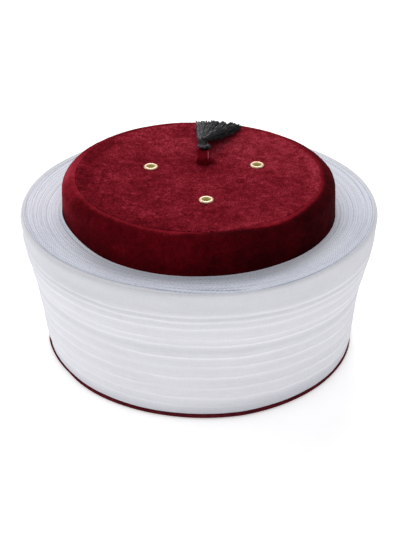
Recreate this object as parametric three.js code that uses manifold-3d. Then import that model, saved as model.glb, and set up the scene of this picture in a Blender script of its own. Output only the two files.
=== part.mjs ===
// Prayer cap: a velvet crown with a white pleated turban cloth wound round it.
// Millimetres, +Z up, the wearer's front towards -Y.
// The origin is the centre of the lower rim, on the surface that the cap stands on.
import * as THREE from 'three';
import { mergeVertices } from 'three/addons/utils/BufferGeometryUtils.js';
import Module from 'manifold-3d';

const wasm = await Module();
wasm.setup();

// Shared sizes
const GAP = 0.3;
const RING_SEGMENTS = 56;
const WELD_DISTANCE = 0.001;

// Rim binding: a flat ring with a rounded outer edge
const HEAD_RADIUS = 91.4;
const RIM_RADIUS = 100.2;
const BINDING_HEIGHT = 3.4;
const BINDING_ARC_STEPS = 4;

// Crown: a tapered wall that rises to a rounded shoulder and a flat top
const CROWN_HEIGHT = 117.3;
const CROWN_WALL = 2.5;
const CROWN_FOOT_RADIUS = 94;
const CROWN_WAIST_RADIUS = 86.6;
const CROWN_WAIST_Z = 92.2;
const SHOULDER_RADIUS = 86.2;
const SHOULDER_RISE = 7;
const SHOULDER_STEPS = 5;
const SEAM_RADIUS = 77.5;
const TOP_EDGE_ROUNDING = 0.8;

// Turban band: its outside flares from the rim to a hem at the top
const BAND_FOOT_Z = BINDING_HEIGHT + GAP;
const BAND_SECTIONS = [
  { z: BAND_FOOT_Z, radius: 99.6, wall: 2.4 },
  { z: 25.7, radius: 101.6, wall: 2.4 },
  { z: 52.7, radius: 106.1, wall: 2.4 },
  { z: 76.7, radius: 111.4, wall: 2.4 },
  { z: 95.9, radius: 113.6, wall: 1.7 },
];
const HEM_ROUNDING = 0.8;
const HEM_STEPS = 3;

// Pleats of the outer wrap: each folded edge stands proud of the pleat above it
const PLEAT_HEIGHTS = [9.2, 15.4, 23, 31, 38.9, 46.9, 56.2, 61, 69.9, 75, 79.5];
const PLEAT_STEP = 0.8;
const PLEAT_TUCK = 0.6;

// Inner turns: their edges lie side by side on the top face of the band
const TURN_COUNT = 9;
const TURNS_INNER_Z = 92.3;
const TURNS_OUTER_Z = 95.7;
const TURN_RIDGE = 0.9;

// Eyelets: a domed flange on top, a barrel through the panel, a rolled end below
const EYELET_SEGMENTS = 14;
const EYELET_FLANGE_RADIUS = 4.6;
const EYELET_HOLE_RADIUS = 2.4;
const EYELET_METAL = 0.5;
const EYELET_DOME = 0.8;
const EYELET_DOME_STEPS = 4;
const EYELET_ROLL_RADIUS = 4;
const EYELETS = [
  { name: 'left', x: -30.3, y: 10.1 },
  { name: 'right', x: 37.2, y: 11.7 },
  { name: 'front', x: 4.6, y: -36.8 },
];

// Tassel: a stem on the crown, a flat round head, a neck that bends back, and locks fanned over the top
const STEM_X = 2.9;
const STEM_Y = 16.6;
const STEM_RADIUS = 3.7;
const STEM_FLARE = 0.6;
const STEM_HEIGHT = 8.8;
const STEM_SEGMENTS = 20;
const TASSEL_HEAD_RADIUS = 3.6;
const TASSEL_HEAD_HALF_HEIGHT = 1.9;
const TASSEL_HEAD_FACETS = { round: 14, down: 6 };
const NECK_BACK = 4.2;
const NECK_RISE = 3.3;
const NECK_WIDTH = 2.4;
const LOCK_STEPS = 6;
const LOCK_SIDES = 5;
const LOCK_RAGGED = 1.2;
const LOCK_LAYERS = [
  { count: 7, thickness: 3.8, rest: 2.3, left: -1, right: 25.5, reach: 52.6, arch: 0 },
  { count: 6, thickness: 4, rest: 4.1, left: 0.8, right: 22.6, reach: 51, arch: 1.2 },
];
const LOCK_ROUTE = [
  { along: 0, fall: 0, arch: 0 },
  { along: 0.25, fall: 0.42, arch: 0.8 },
  { along: 0.5, fall: 0.72, arch: 1 },
  { along: 0.75, fall: 0.92, arch: 0.5 },
  { along: 1, fall: 1, arch: 0 },
];

// Materials
const VELVET_TOP = new THREE.MeshStandardMaterial({ color: '#6e161e', roughness: 0.9 });
const VELVET_SIDE = new THREE.MeshStandardMaterial({ color: '#560c15', roughness: 0.9 });
const VELVET_EDGE = new THREE.MeshStandardMaterial({ color: '#46141a', roughness: 0.9 });
const WRAP_CLOTH = new THREE.MeshStandardMaterial({ color: '#dcdce2', roughness: 0.85 });
const TURNS_CLOTH = new THREE.MeshStandardMaterial({ color: '#c3c5d0', roughness: 0.85 });
const BRASS = new THREE.MeshStandardMaterial({ color: '#cdb277', roughness: 0.35, metalness: 1 });
const TASSEL_YARN = new THREE.MeshStandardMaterial({ color: '#1d1d21', roughness: 0.7 });

const crownTopZ = CROWN_HEIGHT;
const crownUnderZ = CROWN_HEIGHT - CROWN_WALL;
const shoulderZ = CROWN_HEIGHT - SHOULDER_RISE;
const rimTop = BAND_SECTIONS.at(-1);

// Helpers

function ring(profile, segments = RING_SEGMENTS) {
  const outline = profile.map(({ radius, z }) => new THREE.Vector2(radius, z));
  return new THREE.LatheGeometry(outline, segments).rotateX(Math.PI / 2);
}

function closedRing(profile, segments = RING_SEGMENTS) {
  return ring([...profile, profile[0]], segments);
}

function ellipseArc(centre, across, up, fromAngle, toAngle, steps) {
  return Array.from({ length: steps + 1 }, (_, i) => {
    const angle = THREE.MathUtils.lerp(fromAngle, toAngle, i / steps);
    return {
      radius: centre.radius + across * Math.cos(angle),
      z: centre.z + up * Math.sin(angle),
    };
  });
}

// Outside radius of the band and thickness of its outer wrap at a height
function bandAt(z) {
  const upper = Math.max(1, BAND_SECTIONS.findIndex((section) => section.z >= z));
  const low = BAND_SECTIONS[upper - 1];
  const high = BAND_SECTIONS[upper];
  return {
    radius: THREE.MathUtils.mapLinear(z, low.z, high.z, low.radius, high.radius),
    wall: THREE.MathUtils.mapLinear(z, low.z, high.z, low.wall, high.wall),
  };
}

function turnsOutside(z) {
  const { radius, wall } = bandAt(z);
  return { radius: radius - wall - GAP, z };
}

function crownRadius(z) {
  if (z < CROWN_WAIST_Z) {
    const rise = (z - BAND_FOOT_Z) / (CROWN_WAIST_Z - BAND_FOOT_Z);
    return THREE.MathUtils.lerp(CROWN_FOOT_RADIUS, CROWN_WAIST_RADIUS, rise);
  }
  return THREE.MathUtils.mapLinear(z, CROWN_WAIST_Z, shoulderZ, CROWN_WAIST_RADIUS, SHOULDER_RADIUS);
}

function toSolid(geometry) {
  const bare = geometry.clone();
  bare.deleteAttribute('normal');
  bare.deleteAttribute('uv');
  const merged = mergeVertices(bare, WELD_DISTANCE);
  return new wasm.Manifold(new wasm.Mesh({
    numProp: 3,
    vertProperties: new Float32Array(merged.attributes.position.array),
    triVerts: new Uint32Array(merged.index.array),
  }));
}

function toGeometry(solid) {
  const mesh = solid.getMesh();
  const geometry = new THREE.BufferGeometry();
  geometry.setAttribute('position', new THREE.BufferAttribute(mesh.vertProperties, mesh.numProp));
  geometry.setIndex(new THREE.BufferAttribute(mesh.triVerts, 1));
  geometry.computeVertexNormals();
  return geometry;
}

function piece(name, geometry, material) {
  const mesh = new THREE.Mesh(geometry, material.clone());
  mesh.name = name;
  return mesh;
}

// Rim binding

function rimBinding() {
  const half = BINDING_HEIGHT / 2;
  const edgeCentre = { radius: RIM_RADIUS - half, z: half };
  return piece('rim_binding', closedRing([
    { radius: HEAD_RADIUS, z: 0 },
    ...ellipseArc(edgeCentre, half, half, -Math.PI / 2, Math.PI / 2, BINDING_ARC_STEPS),
    { radius: HEAD_RADIUS, z: BINDING_HEIGHT },
  ]), VELVET_EDGE);
}

// Crown

function crownSide() {
  const shoulderCentre = { radius: SEAM_RADIUS + GAP / 2, z: shoulderZ };
  const across = SHOULDER_RADIUS - shoulderCentre.radius;
  const outside = ellipseArc(shoulderCentre, across, SHOULDER_RISE, 0, Math.PI / 2, SHOULDER_STEPS);
  const inside = ellipseArc(
    shoulderCentre, across - CROWN_WALL, SHOULDER_RISE - CROWN_WALL, Math.PI / 2, 0, SHOULDER_STEPS,
  );
  return piece('crown_side', closedRing([
    { radius: CROWN_FOOT_RADIUS, z: BAND_FOOT_Z },
    { radius: CROWN_WAIST_RADIUS, z: CROWN_WAIST_Z },
    ...outside,
    ...inside,
    { radius: CROWN_WAIST_RADIUS - CROWN_WALL, z: CROWN_WAIST_Z },
    { radius: CROWN_FOOT_RADIUS - CROWN_WALL, z: BAND_FOOT_Z },
  ]), VELVET_SIDE);
}

function crownTop() {
  const edge = SEAM_RADIUS - GAP / 2;
  const panel = ring([
    { radius: 0, z: crownUnderZ },
    { radius: edge, z: crownUnderZ },
    { radius: edge, z: crownTopZ - TOP_EDGE_ROUNDING },
    { radius: edge - TOP_EDGE_ROUNDING, z: crownTopZ },
    { radius: 0, z: crownTopZ },
  ]);
  const holeRadius = EYELET_HOLE_RADIUS + EYELET_METAL + GAP;
  const holeDepth = 4 * CROWN_WALL;
  const hole = new THREE.CylinderGeometry(holeRadius, holeRadius, holeDepth, EYELET_SEGMENTS);
  hole.rotateX(Math.PI / 2);
  const pierced = EYELETS.reduce((solid, { x, y }) => {
    const cutter = hole.clone().translate(x, y, crownTopZ);
    return solid.subtract(toSolid(cutter));
  }, toSolid(panel));
  return piece('crown_top', toGeometry(pierced), VELVET_TOP);
}

// Turban band

function pleatedWrap() {
  const pleats = PLEAT_HEIGHTS.flatMap((z) => [
    { radius: bandAt(z).radius + PLEAT_STEP, z },
    { radius: bandAt(z).radius, z: z + PLEAT_TUCK },
  ]);
  const hemCentre = { radius: rimTop.radius - HEM_ROUNDING, z: rimTop.z - HEM_ROUNDING };
  const hem = ellipseArc(hemCentre, HEM_ROUNDING, HEM_ROUNDING, 0, Math.PI / 2, HEM_STEPS);
  const inside = BAND_SECTIONS.toReversed().map(({ radius, wall, z }) => ({ radius: radius - wall, z }));
  return piece('pleated_wrap', closedRing([
    { radius: BAND_SECTIONS[0].radius, z: BAND_FOOT_Z },
    ...pleats,
    ...hem,
    ...inside,
  ]), WRAP_CLOTH);
}

function woundTurns() {
  const outerRadius = turnsOutside(TURNS_OUTER_Z - TURN_RIDGE).radius;
  const innerRadius = crownRadius(TURNS_INNER_Z) + GAP;
  const pitch = (outerRadius - innerRadius) / TURN_COUNT;
  const ridges = Array.from({ length: TURN_COUNT }, (_, i) => {
    const crestZ = THREE.MathUtils.lerp(TURNS_OUTER_Z, TURNS_INNER_Z, (i + 0.5) / TURN_COUNT);
    const groove = { radius: outerRadius - i * pitch, z: crestZ - TURN_RIDGE };
    const crest = { radius: outerRadius - (i + 0.5) * pitch, z: crestZ };
    return [groove, crest];
  }).flat();
  const outside = BAND_SECTIONS.slice(0, -1).map(({ z }) => turnsOutside(z));
  return piece('wound_turns', closedRing([
    ...outside,
    ...ridges,
    { radius: innerRadius, z: TURNS_INNER_Z - TURN_RIDGE },
    { radius: CROWN_FOOT_RADIUS + GAP, z: BAND_FOOT_Z },
  ]), TURNS_CLOTH);
}

// Eyelets

function eyelet({ name, x, y }) {
  const outer = EYELET_HOLE_RADIUS + EYELET_METAL;
  const seatZ = GAP;
  const rollZ = -CROWN_WALL - GAP;
  const domeCentre = { radius: (EYELET_FLANGE_RADIUS + EYELET_HOLE_RADIUS) / 2, z: seatZ };
  const domeAcross = (EYELET_FLANGE_RADIUS - EYELET_HOLE_RADIUS) / 2;
  const geometry = closedRing([
    ...ellipseArc(domeCentre, domeAcross, EYELET_DOME, 0, Math.PI, EYELET_DOME_STEPS),
    { radius: EYELET_HOLE_RADIUS, z: rollZ - EYELET_METAL },
    { radius: EYELET_ROLL_RADIUS, z: rollZ - EYELET_METAL },
    { radius: EYELET_ROLL_RADIUS, z: rollZ },
    { radius: outer, z: rollZ },
    { radius: outer, z: seatZ },
  ], EYELET_SEGMENTS);
  const mesh = piece(`eyelet_${name}`, geometry, BRASS);
  mesh.position.set(x, y, crownTopZ);
  return mesh;
}

// Tassel

function tasselStem() {
  const geometry = ring([
    { radius: 0, z: 0 },
    { radius: STEM_RADIUS + STEM_FLARE, z: 0 },
    { radius: STEM_RADIUS, z: 2 * STEM_FLARE },
    { radius: STEM_RADIUS, z: STEM_HEIGHT - STEM_FLARE },
    { radius: STEM_RADIUS - STEM_FLARE, z: STEM_HEIGHT },
    { radius: 0, z: STEM_HEIGHT },
  ], STEM_SEGMENTS);
  const mesh = piece('tassel_stem', geometry, VELVET_SIDE);
  mesh.position.set(STEM_X, STEM_Y, crownTopZ + GAP);
  return mesh;
}

// One lock rises from the head through the neck, then falls back and lies on the crown
function tasselLock(layer, index, headZ) {
  const spread = index / (layer.count - 1);
  const rootX = (spread - 0.5) * NECK_WIDTH;
  const tipX = THREE.MathUtils.lerp(layer.left, layer.right, spread) - STEM_X;
  const tipY = layer.reach + (index % 2 ? -LOCK_RAGGED : LOCK_RAGGED);
  const restZ = crownTopZ + layer.rest;
  const neckZ = headZ + NECK_RISE;
  const fan = LOCK_ROUTE.map(({ along, fall, arch }) => new THREE.Vector3(
    THREE.MathUtils.lerp(rootX, tipX, along),
    THREE.MathUtils.lerp(NECK_BACK, tipY, along),
    THREE.MathUtils.lerp(neckZ, restZ, fall) + arch * layer.arch,
  ));
  const path = new THREE.CatmullRomCurve3([new THREE.Vector3(rootX / 2, 0, headZ), ...fan]);
  const outline = new THREE.EllipseCurve(0, 0, layer.thickness / 2, layer.thickness / 2);
  const section = new THREE.Shape(outline.getPoints(LOCK_SIDES).slice(1));
  return new THREE.ExtrudeGeometry(section, { steps: LOCK_STEPS, extrudePath: path, bevelEnabled: false });
}

function tassel() {
  const headZ = crownTopZ + GAP + STEM_HEIGHT + GAP + TASSEL_HEAD_HALF_HEIGHT;
  const head = new THREE.SphereGeometry(1, TASSEL_HEAD_FACETS.round, TASSEL_HEAD_FACETS.down)
    .rotateX(Math.PI / 2)
    .scale(TASSEL_HEAD_RADIUS, TASSEL_HEAD_RADIUS, TASSEL_HEAD_HALF_HEIGHT)
    .translate(0, 0, headZ);
  const locks = LOCK_LAYERS.flatMap((layer) => (
    Array.from({ length: layer.count }, (_, i) => tasselLock(layer, i, headZ))
  ));
  const fused = locks.reduce((solid, lock) => solid.add(toSolid(lock)), toSolid(head));
  const mesh = piece('tassel', toGeometry(fused), TASSEL_YARN);
  mesh.position.set(STEM_X, STEM_Y, 0);
  return mesh;
}

const cap = new THREE.Group();
cap.add(rimBinding());
cap.add(crownSide());
cap.add(crownTop());
cap.add(woundTurns());
cap.add(pleatedWrap());
cap.add(...EYELETS.map(eyelet));
cap.add(tasselStem());
cap.add(tassel());

export default cap;
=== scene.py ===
"""A velvet prayer cap with a white pleated turban cloth wound round it, dressed over its solids."""

import math

import bmesh
import bpy
import numpy as np
from mathutils import Matrix, Vector, noise


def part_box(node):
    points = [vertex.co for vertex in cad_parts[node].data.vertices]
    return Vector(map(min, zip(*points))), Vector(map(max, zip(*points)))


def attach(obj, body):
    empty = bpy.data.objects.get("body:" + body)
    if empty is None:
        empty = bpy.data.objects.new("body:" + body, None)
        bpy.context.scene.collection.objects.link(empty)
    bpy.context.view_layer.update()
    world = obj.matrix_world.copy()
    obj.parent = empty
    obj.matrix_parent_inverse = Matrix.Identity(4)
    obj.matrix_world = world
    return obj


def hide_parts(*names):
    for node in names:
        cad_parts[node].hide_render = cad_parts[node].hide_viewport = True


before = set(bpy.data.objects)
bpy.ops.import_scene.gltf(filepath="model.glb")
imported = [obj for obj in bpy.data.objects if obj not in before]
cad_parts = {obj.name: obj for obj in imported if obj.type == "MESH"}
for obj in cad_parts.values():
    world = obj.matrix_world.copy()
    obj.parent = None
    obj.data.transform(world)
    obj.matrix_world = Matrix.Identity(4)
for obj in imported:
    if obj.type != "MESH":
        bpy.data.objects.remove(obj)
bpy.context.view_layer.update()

# Lengths are in millimetres and bearings in degrees, 0 at the front and 90 at the right
# A row with a bearing, a spread and an amount gives that amount there, and less to either side
MM = 0.001
TAU = 2 * math.pi


def table(columns, *rows):
    """Rows of values under the names of their columns."""
    return [dict(zip(columns.split(), row)) for row in rows]


# Camera, in metres: 400 by 533 pixels, looking along +Y from above the front rim
CAMERA_ELEVATION = math.radians(29.3)
CAMERA_ROLL = math.radians(-0.31)
CAMERA_DISTANCE = 1.0
CAMERA_AIM = (0.58 * MM, 0.0, 50.4 * MM)
CAMERA_FOCAL_PIXELS = 1536
FRAME_LONG_SIDE_PIXELS = 533
SENSOR_MM = 36

# Light, in metres and watts: a white surround, a glowing white table and three large soft lamps
WHITE = (1.0, 1.0, 1.0, 1.0)
SKY_STRENGTH = 0.565
LAMP_SIZE = 0.9
LAMP_AIM = (0.0, 0.0, 0.06)
LAMPS = [
    {"name": "front", "place": (0.0, -1.45, 0.45), "power": 1.3},
    {"name": "back", "place": (0.0, 0.96, 1.21), "power": 8.5},
    {"name": "left", "place": (-1.3, 0.3, 0.7), "power": 3.0},
]
TABLE_GLOW = 0.40
FLOOR_HALF_SIDE = 4.0
FLOOR_DROP = 0.15 * MM

# Crown: wall, shoulder and sewn top
CROWN_FOOT_RADIUS = 94.0
CROWN_WAIST_RADIUS = 86.6
CROWN_WAIST_Z = 92.2
CROWN_FOOT_Z = 3.7
CROWN_WALL = 2.5
CROWN_HEIGHT = 117.3
CROWN_SEGMENTS = 420
HIDDEN_WALL_TOP_Z = 86.0
SHOWN_WALL_FOOT_Z = 87.0
SHOWN_WALL_END = 0.8
SHOULDER_RADIUS = 86.2
SHOULDER_RISE = 7.0
SHOULDER_Z = CROWN_HEIGHT - SHOULDER_RISE
SIDE_STEPS = {"hidden": 8, "shown": 30, "shoulder": 30, "within": 8, "inside": 12}
SIDE_BILLOW = {"height": 0.4, "size": 24.0, "seed": 5}
SIDE_PILE = {"height": 0.16, "size": 3.0, "seed": 6}
TOP_RINGS = 100
UNDER_RINGS = 12
TOP_BILLOW = {"height": 0.35, "size": 26.0, "seed": 8}
TOP_PILE = {"height": 0.16, "size": 3.0, "seed": 9}
SEAM_RADIUS = 77.5
SEAM_GAP = 0.16
SEAM_ALLOWANCE = 1.0
LEDGE_LOW = 0.5
LEDGE_HIGH = 0.2
SEAM_ROLL = 1.0
SEAM_DEPTH = 0.8
SEAM_CLOSED = 0.04
SEAM_SHOWN = {"bearing": -12, "spread": 27, "amount": 0.96}
SWELL_LEFT = {"bearing": -85, "spread": 50, "amount": 1.0}
LIP_RISE = 0.9
LIP_RADIUS = 80.6
LIP_WIDTH = 3.0
DIP_DEPTH = 0.8
DIP_RADIUS = 72.5
DIP_WIDTH = 4.5
EDGE_TILT = 0.9
EDGE_TILT_RADII = (50, 84)

# Painted light and shade on the velvet wall, and where the lit top's brighter colour ends on the shoulder
SIDE_LIGHT_AND_SHADE = {"left": 0.29, "low": 0.03, "crest": 0.16, "crest_left": 0.08}
SIDE_LIGHT_LEFT = {"bearing": -93, "spread": 24, "amount": 1.0}
SIDE_LIGHT_LEFT_Z = (94, 107)
SIDE_SHADE_LOW_Z = (93, 107)
SIDE_SHADE_RIGHT = {"bearing": 48, "spread": 46, "amount": 0.13}
SIDE_LIGHT_FRONT = {"bearing": -9, "spread": 20, "amount": 0.045}
SIDE_LIGHT_BEHIND = {"bearing": 180, "spread": 52, "amount": 0.2}
SIDE_LIGHT_BEHIND_RADII = (80, 85.8)
FOLD_EDGE = table(
    "bearing radius",
    (-110, 82.0), (-60, 80.5), (-10, 81.0), (10, 77.6), (35, 81.6), (58, 80.2), (95, 78.7),
    (150, 80.5),
)
FOLD_SOFTNESS = 1.6

# Patches of the top painted lighter or darker as painted light and shade, and a painted shadow at the foot
# of the stem
PANEL_LIGHT_AND_SHADE = table(
    "bearing radius spread reach amount",
    (-92, 73, 30, 6, -0.09), (-118, 71, 14, 5, -0.06), (-44, 74, 16, 5, -0.07),
    (-12, 74, 16, 5, -0.08), (25, 70, 14, 10, 0.05), (80, 74, 26, 6, 0.07),
    (122, 71, 30, 12, 0.07), (-150, 76, 24, 8, 0.06), (112, 42, 42, 22, 0.05),
    (160, 46, 32, 22, 0.07), (-160, 52, 20, 20, 0.05),
)
STEM_SHADOW = -0.12
STEM_SHADOW_REACH = 4.6
STEM_SHADOW_SHIFT = 4.2

# Turban band: outside radius against height
BAND_SECTIONS = table(
    "z radius",
    (3.7, 99.6), (25.7, 101.6), (52.7, 106.1), (76.7, 111.4), (95.9, 113.6),
)
WRAP_FOOT_Z = 3.0
WRAP_TOP_Z = 95.9
WRAP_WALL_FOOT = 2.4
WRAP_WALL_RIM = 1.7
WRAP_SEGMENTS = 480
WRAP_ROWS = 150
WRAP_INSIDE_ROWS = 10
WRAP_BILLOW = {"height": 0.4, "size": 34.0, "seed": 1}
WRAP_CRINKLE = {"height": 0.14, "size": 9.0, "seed": 2}
CRINKLE_SQUASH = 0.4
HEM_LOW_Z = 80.7
HEM_BLEND = 1.0
HEM_WAIST = 0.4

# Foot of the band: how far the cloth and the binding's edge are drawn in
FOOT_TUCK = 0.4
FOOT_TUCK_Z = 11.0
FOOT_SHAPE_Z = 24.0
FOOT_SHAPE = table(
    "bearing cloth binding",
    (-100, 0.2, 0.2), (-85, 0.6, 0.5), (-75, 1.4, 1.9), (-60, 2.2, 3.4), (-44, 1.8, 2.2),
    (-28, 1.3, 1.7), (-12, 0.5, 0.8), (3, -0.1, -0.3), (15, -0.8, -1.0), (36, -0.6, 0.0),
    (60, 0.1, 0.6), (100, 0.1, 0.2), (150, 0.0, 0.0),
)

# Upper edge of the band: the wrap rolls over, and a crease parts it from the turns round the front
RIM_RADIUS = 113.25
RIM_EDGE = table(
    "bearing wall",
    (-112, 1.9), (-82, 1.7), (-45, 4.2), (-18, 4.5), (-14, 3.9), (-4, 2.5), (1, 1.8), (8, 1.3),
    (30, 1.3), (43, 1.4), (75, 1.6), (150, 2.6),
)
RIM_ROUND_ACROSS = 0.9
RIM_ROUND_DOWN = 2.8
RIM_STEPS = 8
RIM_WANDER = 0.2
RIM_SAG = {"bearing": 20, "spread": 22, "amount": 1.3}
RIM_SAG_REACH = 14.0
RIM_CREASE = 0.6
RIM_CREASE_WIDTH = 0.8
RIM_FRONT = (58, 86)
RIM_BEHIND = 0.85
RIM_CLOSE = 2.2
SHELF_SHARE = 0.6
SHELF_DROP = 0.15
# A line of painted shade on the turns just inside the rolled edge, along the crease, darkest at the front
# right
RIM_LINE_INWARD = 1.1
RIM_LINE_WIDTH = 0.7
RIM_SHADE_LINE_TONE = 0.35
RIM_SHADE_LINE_DARK = {"bearing": 18, "spread": 22, "amount": 0.8}
RIM_LINE_OUTWARD = {"bearing": 12, "spread": 16, "amount": 1.0}

# Pleats: each folded edge stands proud of the pleat above it, over a thinner stretch of cloth; the line
# column lightens each fold, whiter double ply with a painted highlight, and the valley column is painted
# shade between folds
PLEATS = table(
    "z line valley",
    (9.2, 0.7, 0.0), (15.4, 0.9, 0.3), (23.0, 0.8, 0.2), (31.0, 1.0, 0.3), (38.9, 0.8, 0.3),
    (46.9, 1.0, 0.4), (56.2, 1.0, 0.8), (61.0, 0.8, 0.2), (69.9, 1.0, 0.4), (75.0, 0.9, 0.7),
    (79.5, 0.9, 1.1),
)
PLEAT_STEP = 0.5
PLEAT_RISE = 3.2
PLEAT_FALL = 0.2
PLEAT_TUCK = 1.1
PLEAT_TILT = 3.1
PLEAT_WOBBLE = 0.4
PLEAT_RIPPLE = 0.22
PLEAT_SHOWN = {"mean": 0.65, "swing": 0.45, "least": 0.2}
PLEAT_LINE_DROP = 0.3
PLEAT_LINE_WIDTH = 0.7
VALLEY_PARTS = 3

# Wanders round the ring: how many waves each has, and its seed
WANDER_ORDERS = (1, 2, 3, 5, 8)
RIPPLE_ORDERS = (13, 19, 27, 34)
FADE_ORDERS = (2, 3, 5, 9, 14)
SEEDS = {"wobble": 0, "rim": 21, "fade": 30, "turns": 40, "grooves": 41, "edges": 50, "ripple": 60}

# Noise: how far its pattern moves along each axis from one seed to the next
NOISE_SHIFT = (3.7, 1.9, 5.3)

# Whiteness of the wrap, by how many plies show, with painted shade under the rim, below the hem, at the
# foot and inside the crease, and painted light at the left of the rim and behind it
WRAP_PLIES_AND_PAINTED_LIGHT = {"plain": 0.15, "lines": 0.44, "hem": 0.31, "rim": 0.14, "foot": 0.5,
              "far_light": 0.5, "inside": 0.8}
RIM_SHADE_DEPTH = 7
RIM_LIGHT_LEFT = {"bearing": -82, "spread": 20, "amount": 0.5}
HEM_SHADE = {"bearing": -44, "spread": 18, "amount": 0.22, "z": 80, "reach": 6}
FOOT_SHADE_Z = (3, 13.5)
FOOT_SHADE_RIGHT = {"bearing": 28, "spread": 36, "amount": 1.1}
FAR_LIGHT_BEARINGS = (70, 100)

# Inner turns: a spiral of cloth edges on the top face of the band
TURNS_INNER_RADIUS = CROWN_WAIST_RADIUS + 0.15
TURNS_SEGMENTS = 480
TURNS_ROWS = 120
TURN_COUNT = 9
TURNS_FOOT_Z = 3.7
TURNS_INNER_Z = 92.3
TURNS_OUTER_Z = 95.7
TURNS_SIDE_Z = (TURNS_FOOT_Z, 25.0, 52.0, 76.0)
RIM_CLEARANCE = 0.05
WRAP_CLEARANCE = 0.3
TURNS_FOOT_RADIUS = CROWN_FOOT_RADIUS + 0.3
TURNS_LEAST_RADIUS = CROWN_FOOT_RADIUS + 0.45
TURN_BILLOW = {"height": 0.25, "size": 24.0, "seed": 3}
TURN_WANDER = 0.35
TURN_UNEVEN = [
    {"height": 0.2, "rate": 1.7, "phase": 0},
    {"height": 0.08, "rate": 3.3, "phase": 1},
]
TURN_GROOVE_DEPTH = 0.6
TURN_GROOVE_WIDTH = 0.45
GROOVE = {"plain": 0.3, "wander": 0.12, "sides": 0.12, "beat": 0.8}
GROOVE_SIDES = (45, 75)
GROOVE_FRONT = {"bearing": 0, "spread": 25, "amount": 0.3}
GROOVE_BEAT = {"height": 0.35, "rate": 2.3, "phase": 1}
TURN_EDGES = table(
    "start end from to depth",
    (-132, -92, 109.6, 106.4, 0.6), (-132, -96, 106.9, 105.2, 0.5), (-98, -42, 110.5, 105.0, 0.6),
    (-75, -15, 104.5, 101.5, 0.2), (-4, 14, 105.3, 108.6, 1.8), (40, 80, 106.2, 104.0, 0.4),
    (92, 150, 106.6, 108.4, 0.9), (88, 140, 101.5, 103.0, 0.4),
)
EDGE_WIDTH = 0.5
EDGE_FADE = 5.0
EDGE_WANDER = 0.3
INNER_LIFT = {"bearing": -70, "spread": 24, "amount": 4.2}
INNER_LIFT_REACH = 13.0
INNER_LIFT_CURVE = 1.6

# Whiteness of the turns: painted shade in the grooves and near the crown at the front, painted light behind
# and beside the crown, falling off outwards, and a painted highlight along the inner edge
TURN_PLIES_AND_PAINTED_LIGHT = {"plain": -0.23, "groove": 0.4, "inner": 0.24, "back": 0.45, "hidden": 0.4}
TURN_LIGHTS = table(
    "bearing spread amount fall",
    (52, 18, 0.45, 1), (52, 18, 0.5, 3), (-50, 15, 0.38, 1),
)
TURN_SHADE = {"bearing": -4, "spread": 20, "amount": 0.25, "radius": 91.5, "reach": 3.0}
TURN_LIGHT_BACK = (66, 104)
INNER_HIGHLIGHT_RADIUS = TURNS_INNER_RADIUS + 0.3
INNER_HIGHLIGHT_WIDTH = 0.7

# Rim binding
BINDING_INNER_RADIUS = 91.4
BINDING_OUTER_RADIUS = 100.2
BINDING_HEIGHT = 2.9
BINDING_SEGMENTS = 360
BINDING_FLAT_STEPS = 8
BINDING_ROUND_STEPS = 12

# Eyelets
EYELET_NAMES = ["eyelet_left", "eyelet_right", "eyelet_front"]
EYELET_FLANGE_RADIUS = 4.6
EYELET_HOLE_RADIUS = 2.4
EYELET_DOME = 0.85
EYELET_DOME_END = 0.8 * math.pi
EYELET_DOME_STEPS = 14
EYELET_SEAT = 0.2
EYELET_METAL = 0.5
EYELET_BARREL_STEPS = 8
EYELET_ROLL_RADIUS = 4.0
EYELET_ROLL_DROP = 0.3
EYELET_SEGMENTS = 64
HOLE_CLEARANCE = 0.05
HOLE_SEGMENTS = 32

# Stem of the tassel: a flared foot, a straight tube and a rounded top, with a raised seam that carries a
# painted highlight, and painted light brightening the tube above its foot
STEM_RADIUS = 3.7
STEM_FLARE = 0.6
STEM_FOOT_Z = 0.3
STEM_FLARE_RISE = 2.0
STEM_FLARE_START = 0.15
STEM_FLARE_STEPS = 8
STEM_TUBE_Z = 2.7
STEM_TUBE_STEPS = 12
STEM_ROUND = 0.6
STEM_ROUND_START = 0.2
STEM_ROUND_STEPS = 6
STEM_SEGMENTS = 96
STEM_SEAM = {"bearing": 50, "spread": 4, "amount": 1.0}
STEM_SEAM_HEIGHT = 0.3
STEM_BULGE = {"bearing": 80, "spread": 50, "amount": 0.7}
STEM_NAP_AND_LIGHT = {"plain": 0.02, "seam": 0.42, "light": 0.11, "upper": 0.08}
STEM_SEAM_Z = (0.5, 4.5)
STEM_UPPER_Z = (1, 5)
STEM_LIGHT_Z = 6.0
STEM_LIGHT_REACH = 2.2

# Head and neck of the tassel
HEAD_HALF_WIDTH = 4.2
HEAD_HALF_DEPTH = 3.0
HEAD_HALF_HEIGHT = 2.1
HEAD_GAP = 0.2
HEAD_SHIFT = 0.8
HEAD_TILT = math.radians(9)
HEAD_STEPS = 40
HEAD_SEGMENTS = 48
HEAD_WINDINGS = 8
HEAD_HIGHLIGHT = 0.65
HEAD_SHADE = 0.4
HEAD_SHADE_X = (-2, 4)
WINDING = 0.05
NECK_RADIUS = 2.9
NECK_BACK = 3.4
NECK_RISE = 3.0
NECK_STEPS = 30
NECK_SIDES = 32
NECK_WINDINGS = 5
NECK_TONE = 0.18

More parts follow.
